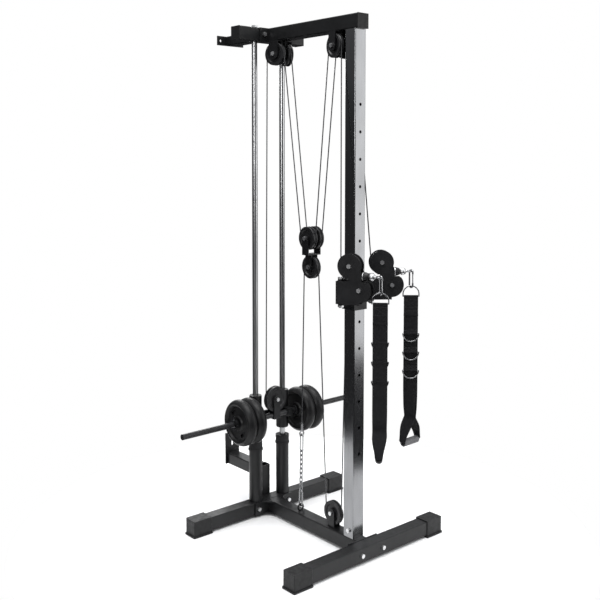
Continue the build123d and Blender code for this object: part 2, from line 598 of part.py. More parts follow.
def loading():
    """The loading bar with its welded inner stops, the plates on it and their collars."""
    bar = rod((-BAR_HALF, CARRIAGE_Y, BAR_Z), (BAR_HALF, CARRIAGE_Y, BAR_Z), ROD_R)
    plates, collars = [], []
    bore = ROD_R + 0.3
    for side in (-1, 1):
        bar += rod((side * 110, CARRIAGE_Y, BAR_Z), (side * (PLATE_IN - 0.5), CARRIAGE_Y, BAR_Z), 22)
        for i in range(2):
            start = PLATE_IN + i * (PLATE_W + PLATE_GAP)
            plates.append(weight_plate(side, start, bore))
        start = PLATE_IN + 2 * (PLATE_W + PLATE_GAP)
        collar = rod((side * start, CARRIAGE_Y, BAR_Z), (side * (start + 20), CARRIAGE_Y, BAR_Z), 22)
        collar += rod((side * (start + 10), CARRIAGE_Y, BAR_Z), (side * (start + 10), CARRIAGE_Y, BAR_Z + 34), 5)
        collar -= rod((side * (start - 1), CARRIAGE_Y, BAR_Z), (side * (start + 21), CARRIAGE_Y, BAR_Z), ROD_R + FIT)
        collars.append(collar)
    save("loading_bar", bar)
    save("weight_plates", *plates)
    save("bar_collars", *collars)


def weight_plate(side, start, bore):
    """A vinyl-shelled plate: a crowned rim round a dished face with two opposite grip recesses."""
    half = PLATE_W / 2
    section = [(bore, -half + 6), (30, -half + 6), (36, -half + 12), (74, -half + 12), (80, -half + 3), (86, -half)]
    outline = Polyline(*section)
    rim = ThreePointArc((86, -half), (WEIGHT_R, 0), (86, half))
    back = Polyline(*[(r, -w) for r, w in reversed(section)])
    close = Line((bore, half - 6), (bore, -half + 6))
    disc = revolve(make_face([outline, rim, back, close]), axis=Axis.Y, revolution_arc=360)
    for turn in RECESS_TURNS:
        angle = math.radians(turn)
        x, z = 56 * math.cos(angle), 56 * math.sin(angle)
        recess = fillet(Box(38, 40, 16).edges().filter_by(Axis.Y), 7.5)
        disc -= Pos(x, -side * half, z) * Rot(0, 90 - turn, 0) * recess
    disc = Rot(0, 0, 90) * disc
    return Pos(side * (start + half), CARRIAGE_Y, BAR_Z) * disc


# --- trolley -----------------------------------------------------------------------------
def trolley():
    h, t = TROLLEY_HALF, 3.5
    y0, y1 = TUBE / 2 - h, TUBE / 2 + h
    body = box(-h, h, y0, y1, TROLLEY_LOW, TROLLEY_TOP)
    for sign in (-1, 1):
        pivot = (sign * PIVOT_X, PIVOT_Y)
        for z in (BARREL_LOW - 1 - EAR_T, BARREL_TOP + 1):
            a, b = sorted((sign * (h - 1), pivot[0]))
            ear = box(a, b, PIVOT_Y - 12, PIVOT_Y + 12, z, z + EAR_T)
            ear += rod((pivot[0], pivot[1], z), (pivot[0], pivot[1], z + EAR_T), 12)
            body += ear
    boss_y = y0 - 12
    body += rod((0, boss_y, PIN_Z), (0, y0, PIN_Z), 13)
    body += box(-10, 10, y1 - 1, TUBE + 30, TROLLEY_LOW, TROLLEY_LOW + 8)
    body -= box(t - h, h - t, y0 + t, y1 - t, TROLLEY_LOW - 1, TROLLEY_TOP + 1)
    for sign in (-1, 1):
        body -= rod((sign * PIVOT_X, PIVOT_Y, BARREL_LOW - 20), (sign * PIVOT_X, PIVOT_Y, BARREL_TOP + 20),
                    PIVOT_R + FIT)
    body -= rod((0, boss_y - 1, PIN_Z), (0, y0 + 9, PIN_Z), 5 + FIT)
    body -= rod((0, TUBE + 18, TROLLEY_LOW - 1), (0, TUBE + 18, TROLLEY_LOW + 9), CABLE_R + 0.3)
    save("trolley_sleeve", body)
    liners = []
    clear = TUBE / 2 + 0.3
    for z0, z1 in ((TROLLEY_LOW + 2, TROLLEY_LOW + 34), (TROLLEY_TOP - 34, TROLLEY_TOP - 2)):
        liner = box(t - h, h - t, y0 + t, y1 - t, z0, z1)
        liners.append(liner - box(-clear, clear, TUBE / 2 - clear, TUBE / 2 + clear, z0 - 1, z1 + 1))
    save("trolley_liners", *liners)
    bolts = []
    grip = BARREL_TOP - BARREL_LOW + 2 * (EAR_T + 1)
    for sign in (-1, 1):
        top = (sign * PIVOT_X, PIVOT_Y, BARREL_TOP + 1 + EAR_T)
        bolts.append(bolt(top, (0, 0, -1), grip, PIVOT_R, 12.5))
    save("pivot_bolts", *bolts)
    # at rest the pin's tip stands just clear of the upright, and its joint pushes it into a hole
    knob_y = boss_y - PIN_THROW - 14
    pin = rod((0, knob_y, PIN_Z), (0, -0.8, PIN_Z), 5)
    pin += rod((0, knob_y, PIN_Z), (0, boss_y - PIN_THROW - 0.5, PIN_Z), 13)
    save("pop_pin", pin)


# --- swivel housings ------------------------------------------------------------------------
def cheek_outline():
    """The snowman outline of a swivel cheek, with the tab to the pivot barrel (ahead, height)."""
    upper, lower = UPPER_SHEAVE, LOWER_SHEAVE
    shape = Pos(*upper) * Circle(LOBE_R) + Pos(*lower) * Circle(LOBE_R)
    lean = math.degrees(math.atan2(lower[0] - upper[0], upper[1] - lower[1]))
    middle = ((upper[0] + lower[0]) / 2, (upper[1] + lower[1]) / 2)
    shape += Pos(*middle) * Rot(0, 0, lean) * Rectangle(74, 80)
    tab = Pos((lower[0] - BARREL_R) / 2, (BARREL_LOW + BARREL_TOP) / 2)
    shape += tab * Rectangle(lower[0] + BARREL_R, BARREL_TOP - BARREL_LOW)
    shape -= Pos(10, BARREL_TOP + 6) * Rectangle(60, 12)
    return shape


def swivel(side):
    place = swivel_place(side)
    # the outline is drawn with 'ahead' as x and height as y, on the plane across the pivot
    cheeks = None
    for s in (-1, 1):
        near, far = sorted((s * CHEEK_IN, s * (CHEEK_IN + PLATE_T)))
        plane = Plane(origin=(near, 0, 0), x_dir=(0, 1, 0), z_dir=(1, 0, 0))
        cheek = extrude(plane * cheek_outline(), amount=far - near)
        cheeks = cheek if cheeks is None else cheeks + cheek
    cheeks += rod((0, 0, BARREL_LOW), (0, 0, BARREL_TOP), CHEEK_IN + 0.1)
    # a guide block behind the ball stop joins the cheeks and lets the cable out
    block = box(-CHEEK_IN - 1, CHEEK_IN + 1, STOP_T - 9, STOP_T - 1, EXIT_Z - 9, EXIT_Z + 9)
    cheeks += block
    cheeks -= rod((0, STOP_T - 12, EXIT_Z), (0, STOP_T + 2, EXIT_Z), CABLE_R + 1)
    # the front of the lower lobe is cut away under the ball stop
    floor_z = EXIT_Z - WASHER_R - 3
    cheeks -= box(-40, 40, STOP_T - 1, STOP_T + 60, floor_z, EXIT_Z + WASHER_R + 3)
    cheeks -= rod((0, 0, BARREL_LOW - 1), (0, 0, BARREL_TOP + 1), PIVOT_R + FIT)
    for ahead, z in (UPPER_SHEAVE, LOWER_SHEAVE):
        cheeks -= rod((-40, ahead, z), (40, ahead, z), AXLE_R + FIT)
    save(f"{side}_swivel_housing", place * cheeks)
    grip = 2 * (CHEEK_IN + PLATE_T)
    axles = []
    for ahead, z in (UPPER_SHEAVE, LOWER_SHEAVE):
        axles.append(place * bolt((grip / 2, ahead, z), (-1, 0, 0), grip))
    save(f"{side}_swivel_axles", *axles)
    hub_w = 2 * (CHEEK_IN - GAP)
    upper = sheave(UPPER_SHEAVE_R, UPPER_PITCH_R, hub_w, RIM_W)
    guard = sheave(GUARD_SHEAVE_R, GUARD_PITCH_R, hub_w, RIM_W)
    save(f"{side}_swivel_upper_sheave", place * (Pos(0, *UPPER_SHEAVE) * upper))
    save(f"{side}_swivel_lower_sheave", place * (Pos(0, *LOWER_SHEAVE) * guard))
    ahead, z = UPPER_SHEAVE
    diagonal = UPPER_PITCH_R * math.sqrt(0.5)
    turn = wrap((0, ahead - UPPER_PITCH_R, z), (0, ahead - diagonal, z - diagonal), (0, ahead, z - UPPER_PITCH_R))
    lead = rod((0, ahead, EXIT_Z), (0, STOP_T, EXIT_Z), CABLE_R)
    save(f"{side}_swivel_cable", place * (turn + lead))


# --- handles -------------------------------------------------------------------------------------
def handle(side):
    place = swivel_place(side)
    # washer, rubber cone, steel ferrule and a flat eye
    cone_t, ball_t = STOP_T + 3, STOP_T + 36
    stop = rod((0, STOP_T, EXIT_Z), (0, cone_t, EXIT_Z), WASHER_R)
    cone = Plane(origin=(0, cone_t, EXIT_Z), z_dir=(0, 1, 0))
    stop += loft([cone * Circle(WASHER_R), cone.offset(20) * Circle(14)])
    stop += Pos(0, ball_t, EXIT_Z) * Sphere(15)
    stop += rod((0, ball_t, EXIT_Z), (0, EYE_T - EYE_R, EXIT_Z), 5)
    stop += Pos(0, EYE_T, EXIT_Z) * Torus(EYE_R, EYE_WIRE)
    save(f"{side}_cable_stop", place * stop)

    turn = Rot(0, 0, 90 + CARABINER_TURN[side])
    hook = place * Pos(0, EYE_T, EXIT_Z) * turn * Pos(EYE_R, 0, 0)
    bow_top = CARABINER_R - CARABINER_WIRE - EYE_WIRE - LINK_PLAY
    length = CARABINER_SPAN + 2 * (CARABINER_R + CARABINER_WIRE)
    centre_z = -bow_top - CARABINER_SPAN / 2
    save(f"{side}_carabiner", hook * (Pos(0, 0, centre_z) * link(length, CARABINER_R, CARABINER_WIRE)))

    # the handle ring lies in the carabiner's lower bow, and the strap hangs from the ring's bar
    bow_z = centre_z - CARABINER_SPAN / 2 - CARABINER_R
    bar_z = bow_z + CARABINER_WIRE + RING_WIRE + LINK_PLAY - RING_HALF - RING_LEG
    hang = hook * Pos(0, 0, bar_z) * Rot(0, 0, STRAP_TURN[side] - CARABINER_TURN[side])
    rings = [hang * half_ring(RING_LEG)]
    for y, z in bands(side):
        rings.append(hang * Pos(0, y, z) * Rot(180, 0, 0) * half_ring(0))
    save(f"{side}_strap_rings", *rings)
    save(f"{side}_strap", hang * strap(side), hang * grip_tube(side))


def half_ring(leg):
    """A D-shaped wire ring: its bar on the origin along X, its bow upwards."""
    high = box(-60, 60, -10, 10, leg, leg + 60)
    ring = (Pos(0, 0, leg) * Rot(90, 0, 0) * Torus(RING_HALF, RING_WIRE)) & high
    for x in (-RING_HALF, RING_HALF):
        ring += Pos(x, 0, 0) * Sphere(RING_WIRE)
        if leg:
            ring += rod((x, 0, 0), (x, 0, leg), RING_WIRE)
    return ring + rod((-RING_HALF, 0, 0), (RING_HALF, 0, 0), RING_WIRE)


def bands(side):
    """Where the adjusting rings' bars lie against the strap: offset from its middle, and height."""
    y = BAND_SIDE[side] * (STRAP_T / 2 + RING_WIRE + 0.1)
    return [(y, -BAND_DROP - i * BAND_PITCH) for i in range(BAND_COUNT)]


def strap(side):
    """The webbing, doubled round the ring's bar, that parts at its foot and runs through the grip."""
    half, t = STRAP_W / 2, STRAP_T / 2
    hole = RING_WIRE + 0.1
    across = Plane(origin=(-half + 0.3, 0, 0), x_dir=(0, 1, 0), z_dir=(1, 0, 0))
    shape = Pos(0, -FORK_DROP / 2) * Rectangle(STRAP_T, FORK_DROP) + Circle(hole + t)
    for y, z in bands(side):
        shape += Pos(y, z) * Circle(hole + 2) + Pos(y * 0.85, z + 11) * Rectangle(2.5, 22)
    for y, z in [(0, 0)] + bands(side):
        shape -= Pos(y, z) * Circle(hole)
    web = extrude(across * shape, amount=STRAP_W - 0.6)

    # the two legs, cut from a band that is narrower than the strap
    reach, leg_half = GRIP_HALF + 4, 18.0
    along = Plane(origin=(0, leg_half, 0), x_dir=(1, 0, 0), z_dir=(0, -1, 0))
    outer = Polyline((-t, 12 - FORK_DROP), (-reach - 3, 4 - GRIP_DROP), (-reach - 3, -2 - GRIP_DROP),
                     (reach + 3, -2 - GRIP_DROP), (reach + 3, 4 - GRIP_DROP), (t, 12 - FORK_DROP), close=True)
    inner = Polyline((0, -8 - FORK_DROP), (-reach + 1, 5 - GRIP_DROP), (-reach + 1, 2 - GRIP_DROP),
                     (reach - 1, 2 - GRIP_DROP), (reach - 1, 5 - GRIP_DROP), close=True)
    legs = extrude(along * (make_face(outer) - make_face(inner)), amount=2 * leg_half)
    for s in (-1, 1):
        a, b = sorted((s * 9, s * 40))
        legs -= box(-reach + 1, reach - 1, a, b, -4 - GRIP_DROP, 2.5 - GRIP_DROP)
    return web + Rot(0, 0, GRIP_TURN[side]) * legs


def grip_tube(side):
    """The tube that the hand holds, threaded on the webbing."""
    z = -GRIP_DROP
    return Rot(0, 0, GRIP_TURN[side]) * pipe((-GRIP_HALF, 0, z), (GRIP_HALF, 0, z), GRIP_R, GRIP_R - 4)


# --- build -----------------------------------------------------------------------------------------
def build():
    floor_beams()
    base_spine()
    upright()
    top_frame()
    wall_arms()
    caps()
    guides()
    pulley_brackets()
    fasteners()
    ferrule_top = anchor_chain()
    cables(ferrule_top)
    frame_sheaves()
    travelling_block()
    weight_carriage()
    loading()
    trolley()
    for side in ("left", "right"):
        swivel(side)
        handle(side)


def export_all():
    os.makedirs("parts", exist_ok=True)
    for name, solids in NODES.items():
        shape = solids[0] if len(solids) == 1 else Compound(children=list(solids))
        export_step(shape, f"parts/{name}.step")


build()
export_all()
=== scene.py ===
import bpy
import bmesh
import json
import math
from mathutils import Vector, Matrix


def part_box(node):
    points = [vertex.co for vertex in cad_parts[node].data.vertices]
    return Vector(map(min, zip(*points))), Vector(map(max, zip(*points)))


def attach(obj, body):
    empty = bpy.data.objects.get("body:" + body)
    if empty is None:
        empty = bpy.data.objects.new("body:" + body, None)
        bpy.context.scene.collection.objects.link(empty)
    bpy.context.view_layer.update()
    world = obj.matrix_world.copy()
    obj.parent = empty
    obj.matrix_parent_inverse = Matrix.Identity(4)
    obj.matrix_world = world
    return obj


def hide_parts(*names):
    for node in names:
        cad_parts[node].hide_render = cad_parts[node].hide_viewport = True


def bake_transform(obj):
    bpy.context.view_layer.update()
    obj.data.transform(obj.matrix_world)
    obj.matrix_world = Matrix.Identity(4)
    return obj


# Lat pulldown machine: the looks. Metres, +Z up, the user stands at -Y.
# The CAD pieces stay, apart from the guide rods, the free lengths of cable, the cable stops,
# the snap hooks and the straps, which are rebuilt as meshes.
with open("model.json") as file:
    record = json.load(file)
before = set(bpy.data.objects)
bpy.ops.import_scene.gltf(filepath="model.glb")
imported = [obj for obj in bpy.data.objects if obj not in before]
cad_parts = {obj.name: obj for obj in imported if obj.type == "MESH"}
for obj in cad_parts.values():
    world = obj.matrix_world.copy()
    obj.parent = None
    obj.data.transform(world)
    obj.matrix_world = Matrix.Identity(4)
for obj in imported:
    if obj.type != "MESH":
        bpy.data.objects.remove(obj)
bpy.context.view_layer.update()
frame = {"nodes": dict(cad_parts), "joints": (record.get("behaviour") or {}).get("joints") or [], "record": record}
NODES = frame["nodes"]
JOINTS = {j["name"]: j for j in frame["joints"]}
SIDES = ("left", "right")
UP = Vector((0, 0, 1))

MM = 0.001
SHARP_ANGLE = math.radians(40)       # new meshes keep an edge that folds more than this
CAD_SPLIT_ANGLE = math.radians(32)   # the same for the CAD pieces
MERGE_DIST = 1e-6                    # points closer than this are one point

CABLE_R = 2.5 * MM
SWIVEL_PITCH_R = 40 * MM
CABLE_LEAD = 2 * MM                  # straight cable after the sheave's arc, and inside the stop
ROD_CHAMFER = 1 * MM

# cable stop: places along the cable are ahead of the swivel's pivot
STOP_T = 96 * MM                     # the washer's near face
WASHER_R = 18.5 * MM
WASHER_HOLE_R = 3.2 * MM
WASHER_T = 3 * MM
WASHER_EDGE = 0.6 * MM
# the rubber cone, as (along, radius) in mm, from the washer's near face
CONE_MM = ((3, 3), (3.2, 17.4), (4.5, 18), (9, 17.6), (15, 16.2), (20, 14.4), (22.6, 13), (23.4, 11),
           (23.6, 3))
BALL_AHEAD = 36 * MM                 # the ball's middle, from the washer's near face
BALL_R = 15 * MM
BALL_NECK = 16.5 * MM                # where the neck leaves the ball, from its middle
BALL_NECK_R = 5.2 * MM
EYE_T = 161 * MM                     # the eye's middle
EYE_R = 11 * MM
EYE_WIRE = 3 * MM

# snap hook: bow radius, wire radius, straight length; gate and pins
HOOK_R = 10.5 * MM
HOOK_WIRE = 3.5 * MM
HOOK_SPAN = 52 * MM
GATE_WIRE = 2.7 * MM
GATE_PIN_R = 1.2 * MM
GATE_PIN_HALF = 4.4 * MM
LINK_PLAY = 0.4 * MM

# handle ring: wire radius, half height and leg, as in the CAD
RING_WIRE = 2.5 * MM
RING_HALF = 33 * MM
RING_LEG = 10 * MM

# webbing: half width and thickness of one ply; a leg's half width at the fork and what it loses
# down to its foot, then its half width at the foot and what it loses inside the grip
WEB_HALF = 29.7 * MM
WEB_T = 2.4 * MM
LEG_FORK_HALF = 28.7 * MM
LEG_NARROWING = 12.2 * MM
LEG_FOOT_HALF_MM = 16.5
LEG_GRIP_NARROWING_MM = 6.5
SEAM_T = 1.2 * MM                    # a sewn band, and the loop that holds a ring
KEEPER_T = 1.4 * MM
# a sewn band's section, as (up the strap, off its face) in mm
SEAM_MM = ((6, -0.5), (3.5, 0.3), (0, 0.8), (-3.5, 0.3), (-6, -0.5))
BAND_DROP = 78 * MM                  # a plain sewn band, then three with an adjusting ring
BAND_PITCH = 77.5 * MM
BAND_COUNT = 4
BAND_SIDE = {"left": 1, "right": -1}
TWIST_DROP = 330 * MM                # from here down the band turns towards the grip
FORK_DROP = 505 * MM
GRIP_DROP = 612 * MM
GRIP_R = 15 * MM
GRIP_END_R = 13.2 * MM
GRIP_BORE_R = 11 * MM
GRIP_HALF = 46 * MM
GRIP_RIBS = 12
GRIP_TURN = {"left": 86.0, "right": 44.0}
STRAP_TURN = {"left": 45.0, "right": 49.0}   # strap's width, turned from -Y towards +X
PLY_STEPS = 70                       # steps down the doubled part
TOP_STEPS = 4                        # steps the back ply leaves out, where its turned-in end lies

# stitching: spacing, length and half width of a stitch
STITCH_PITCH = 3.4 * MM
STITCH_LENGTH = 2.6 * MM
STITCH_HALF = 0.45 * MM
# a stitch's points, as (half lengths along, half widths across, mm off the face), and its faces
STITCH_POINTS = ((-1, 0, -0.3), (-0.5, 1, 0), (-0.5, 0, 0.35), (-0.5, -1, 0),
                 (0.5, 1, 0), (0.5, 0, 0.35), (0.5, -1, 0), (1, 0, -0.3))
STITCH_FACES = ((0, 1, 2), (0, 2, 3), (1, 4, 5, 2), (2, 5, 6, 3), (4, 7, 5), (5, 7, 6), (1, 3, 6, 4),
                (0, 3, 1), (4, 6, 7))
TACK_ROWS = (13 * MM, 18 * MM)       # rows of stitches above each band
TACK_LIFT = 1.75 * MM
# the crossed box: half widths of the webbing across, metres down from the ring's bar
BOX_CORNERS = ((-0.82, -0.014), (0.82, -0.014), (0.82, -0.046), (-0.82, -0.046))

FLOOR_R = 1.25                       # pale disc the machine stands on, metres
FLOOR_SIDES = 96
# name, place, point it faces, side of the square (m) and power (W)
LIGHTS = (("key", (2.25, -2.95, 1.6), (0, -0.3, 1.6), 3.1, 58),
          ("top", (-0.3, -0.4, 4.8), (0, 0, 0), 3.4, 215),
          ("fill", (-4.0, -2.0, 2.3), (0, 0, 0.9), 1.3, 45),
          ("back", (1.9, 3.8, 3.0), (0, 0, 1.4), 1.6, 60))


# --- materials -----------------------------------------------------------------
class Shader:
    """A small builder for procedural Principled materials in object coordinates (metres)."""

    def __init__(self, name, base, rough, metal=0.0):
        self.mat = bpy.data.materials.new(name)
        self.mat.use_nodes = True
        self.nodes = self.mat.node_tree.nodes
        self.links = self.mat.node_tree.links
        self.bsdf = self.nodes["Principled BSDF"]
        self.bsdf.inputs["Base Color"].default_value = (*base, 1)
        self.bsdf.inputs["Roughness"].default_value = rough
        self.bsdf.inputs["Metallic"].default_value = metal
        self.base = base
        self.height = None
        self.coords = self.nodes.new("ShaderNodeTexCoord")

    def vector(self, source="Object", stretch=(1, 1, 1)):
        mapping = self.nodes.new("ShaderNodeMapping")
        mapping.inputs["Scale"].default_value = stretch
        self.links.new(self.coords.outputs[source], mapping.inputs["Vector"])
        return mapping.outputs["Vector"]

    def noise(self, scale, detail=3.0, source="Object", stretch=(1, 1, 1), roughness=0.5):
        node = self.nodes.new("ShaderNodeTexNoise")
        node.inputs["Scale"].default_value = scale
        node.inputs["Detail"].default_value = detail
        node.inputs["Roughness"].default_value = roughness
        self.links.new(self.vector(source, stretch), node.inputs["Vector"])
        return node.outputs["Fac"]

    def wave(self, scale, direction, source="Object", distortion=0.0, stretch=(1, 1, 1)):
        node = self.nodes.new("ShaderNodeTexWave")
        node.bands_direction = direction
        node.inputs["Scale"].default_value = scale
        node.inputs["Distortion"].default_value = distortion
        self.links.new(self.vector(source, stretch), node.inputs["Vector"])
        return node.outputs["Fac"]

    def math(self, kind, a, b):
        node = self.nodes.new("ShaderNodeMath")
        node.operation = kind
        for socket, value in zip(node.inputs, (a, b)):
            if isinstance(value, (int, float)):
                socket.default_value = value
            else:
                self.links.new(value, socket)
        return node.outputs["Value"]

    def vary_colour(self, fac, dark, light):
        """Runs the base colour from dark to light times itself over fac."""
        ramp = self.nodes.new("ShaderNodeValToRGB")
        ramp.color_ramp.elements[0].position = 0.3
        ramp.color_ramp.elements[1].position = 0.72
        ramp.color_ramp.elements[0].color = (*[c * dark for c in self.base], 1)
        ramp.color_ramp.elements[1].color = (*[min(1, c * light) for c in self.base], 1)
        self.links.new(fac, ramp.inputs["Fac"])
        self.links.new(ramp.outputs["Color"], self.bsdf.inputs["Base Color"])
        return self

    def vary_roughness(self, fac, low, high):
        node = self.nodes.new("ShaderNodeMapRange")
        node.inputs["From Min"].default_value = 0.3
        node.inputs["From Max"].default_value = 0.7
        node.inputs["To Min"].default_value = low
        node.inputs["To Max"].default_value = high
        self.links.new(fac, node.inputs["Value"])
        self.links.new(node.outputs["Result"], self.bsdf.inputs["Roughness"])
        return self

    def bump(self, fac, strength, distance):
        node = self.nodes.new("ShaderNodeBump")
        node.inputs["Strength"].default_value = strength
        node.inputs["Distance"].default_value = distance
        self.links.new(fac, node.inputs["Height"])
        if self.height is not None:
            self.links.new(self.height, node.inputs["Normal"])
        self.height = node.outputs["Normal"]
        self.links.new(self.height, self.bsdf.inputs["Normal"])
        return self

    def set(self, **values):
        for name, value in values.items():
            self.bsdf.inputs[name.replace("_", " ")].default_value = value
        return self


def powder_coat(name, base, rough=0.36):
    s = Shader(name, base, rough)
    grain = s.noise(900, 2)
    cloud = s.noise(9, 4)
    s.vary_colour(cloud, 0.8, 1.25).vary_roughness(s.noise(40, 5), rough - 0.07, rough + 0.1)
    s.bump(grain, 0.22, 0.00025).bump(s.noise(160, 2), 0.12, 0.0006)
    s.set(Specular_IOR_Level=0.3)
    return s.mat


def plated(name, base, rough, grain=(700, 700, 6), streak=0.06):
    """Plated or drawn steel: bright metal with fine lines along its length."""
    s = Shader(name, base, rough, 1.0)
    lines = s.noise(1, 3, stretch=grain)
    s.vary_colour(s.noise(5, 5, stretch=(3, 3, 1)), 0.86, 1.08)
    s.vary_roughness(lines, max(0.03, rough - streak), rough + streak)
    s.bump(lines, 0.015, 0.0001)
    return s.mat


def rubber(name, base, rough=0.6):
    s = Shader(name, base, rough)
    s.vary_colour(s.noise(14, 5), 0.75, 1.35).vary_roughness(s.noise(60, 4), rough - 0.12, rough + 0.12)
    s.bump(s.noise(1400, 2), 0.35, 0.0002).bump(s.noise(220, 3), 0.15, 0.0005)
    s.set(Specular_IOR_Level=0.28)
    return s.mat


def moulded(name, base, rough=0.38):
    s = Shader(name, base, rough)
    s.vary_colour(s.noise(22, 4), 0.8, 1.25).vary_roughness(s.noise(80, 4), rough - 0.08, rough + 0.08)
    s.bump(s.noise(700, 2), 0.15, 0.0002)
    s.set(Specular_IOR_Level=0.35)
    return s.mat


def vinyl(name, base):
    """The plates' shell: thick semi-gloss vinyl with a pebbled skin."""
    s = Shader(name, base, 0.42)
    cells = s.nodes.new("ShaderNodeTexVoronoi")
    cells.inputs["Scale"].default_value = 420
    s.links.new(s.vector(), cells.inputs["Vector"])
    s.vary_colour(s.noise(11, 5), 0.75, 1.3).vary_roughness(s.noise(35, 5), 0.34, 0.5)
    s.bump(cells.outputs["Distance"], 0.25, 0.0004)
    s.set(Specular_IOR_Level=0.25)
    return s.mat


def coated_cable(name):
    s = Shader(name, (0.022, 0.022, 0.024), 0.32)
    lay = s.wave(160, "DIAGONAL", distortion=0.4)
    s.vary_colour(lay, 0.7, 1.5).bump(lay, 0.35, 0.0004).vary_roughness(s.noise(50, 3), 0.26, 0.4)
    s.set(Coat_Weight=0.4, Coat_Roughness=0.12)
    return s.mat


def webbing(name):
    """Nylon webbing in its own UVs, in metres: a twill of fine picks with a tubular edge."""
    s = Shader(name, (0.0075, 0.0075, 0.0085), 0.78)
    across = s.wave(260, "X", "UV")
    along = s.wave(330, "Y", "UV")
    twill = s.wave(190, "DIAGONAL", "UV", stretch=(1, 1, 0))
    weave = s.math("MULTIPLY", s.math("ADD", across, 0.35), s.math("ADD", along, 0.25))
    both = s.math("ADD", weave, s.math("MULTIPLY", twill, 0.6))
    s.vary_colour(s.math("MULTIPLY", both, 0.7), 0.6, 1.7)
    s.vary_roughness(s.noise(90, 4, "UV"), 0.62, 0.82)
    s.bump(both, 0.7, 0.0005).bump(s.noise(60, 3, "UV"), 0.2, 0.0008)
    s.set(Specular_IOR_Level=0.18)
    return s.mat


def foam(name):
    s = Shader(name, (0.16, 0.16, 0.165), 0.8)
    s.vary_colour(s.noise(160, 4), 0.75, 1.2).bump(s.noise(1100, 2), 0.5, 0.0004)
    s.vary_roughness(s.noise(70, 3), 0.7, 0.9)
    return s.mat


def thread_material():
    s = Shader("sewing_thread", (0.03, 0.03, 0.033), 0.6)
    s.vary_colour(s.noise(300, 2), 0.7, 1.5).bump(s.wave(900, "DIAGONAL"), 0.4, 0.0002)
    return s.mat


BLACK = (0.0085, 0.0087, 0.0093)
STEEL = (0.3, 0.303, 0.31)
MATERIALS = {
    "frame_black": powder_coat("powder_coat_black", BLACK),
    "bracket_black": powder_coat("powder_coat_brackets", (0.008, 0.008, 0.009), 0.34),
    "housing_grey": powder_coat("powder_coat_housings", (0.013, 0.013, 0.014), 0.4),
    "plated_upright": plated("plated_upright", (0.27, 0.273, 0.28), 0.16, (600, 600, 5), 0.03),
    "chromed_rod": plated("hard_chrome", (0.5, 0.505, 0.51), 0.3, (12, 12, 1), 0.02),
    "bar_black": powder_coat("bar_lacquer", (0.014, 0.014, 0.015), 0.28),
    "cap_rubber": rubber("moulded_foot_rubber", (0.0095, 0.0095, 0.01), 0.5),
    "bumper_rubber": rubber("bumper_rubber", (0.013, 0.013, 0.014), 0.62),
    "cable_stop": rubber("stop_rubber", (0.012, 0.012, 0.013), 0.45),
    "steel_cable": coated_cable("coated_cable"),
    "sheave_nylon": moulded("sheave_nylon", (0.013, 0.013, 0.014)),
    "liner_plastic": moulded("slide_liner", (0.02, 0.02, 0.02), 0.45),
    "weight_plate": vinyl("plate_vinyl", (0.005, 0.005, 0.0054)),
    "collar_chrome": plated("collar_chrome", STEEL, 0.12, (300, 300, 300), 0.04),
    "pin_knob": moulded("pin_knob", (0.015, 0.015, 0.016)),
    "webbing": webbing("nylon_webbing"),
    "ring_steel": plated("ring_zinc", STEEL, 0.2, (500, 500, 500), 0.06),
    "chain_zinc": plated("chain_zinc", STEEL, 0.24, (500, 500, 500), 0.07),
    "zinc_hardware": plated("bolt_zinc", (0.68, 0.685, 0.69), 0.36, (400, 400, 400), 0.07),
}
GRIP_FOAM = foam("grip_foam")
THREAD = thread_material()


def dress_frame():
    """Each CAD node gets its slot's material and smooth faces with sharp edges."""
    slot_of = {p["node"]: p["material_slot"] for p in frame["record"]["subparts"]}
    for name, node in NODES.items():
        node.data.materials.clear()
        node.data.materials.append(MATERIALS[slot_of[name]])
        for polygon in node.data.polygons:
            polygon.use_smooth = True
        split = node.modifiers.new("smooth", "EDGE_SPLIT")
        split.split_angle = CAD_SPLIT_ANGLE


# --- mesh helpers ----------------------------------------------------------------
def new_object(name, verts, faces, material, smooth=True, uvs=None):
    """A mesh object in the scene; uvs, if given, are one per vertex."""
    mesh = bpy.data.meshes.new(name)
    mesh.from_pydata([tuple(v) for v in verts], [], faces)
    mesh.validate()
    if uvs:
        layer = mesh.uv_layers.new(name="UVMap")
        for loop in mesh.loops:
            layer.data[loop.index].uv = uvs[loop.vertex_index]
    for polygon in mesh.polygons:
        polygon.use_smooth = smooth
    mesh.set_sharp_from_angle(angle=SHARP_ANGLE)
    mesh.materials.append(material)
    obj = bpy.data.objects.new(name, mesh)
    bpy.context.scene.collection.objects.link(obj)
    return obj


def face_outwards(obj, merge=False):
    """Points every face outwards, with double points merged first if asked."""
    work = bmesh.new()
    work.from_mesh(obj.data)
    if merge:
        bmesh.ops.remove_doubles(work, verts=work.verts, dist=MERGE_DIST)
    bmesh.ops.recalc_face_normals(work, faces=work.faces)
    work.to_mesh(obj.data)
    work.free()
    return obj


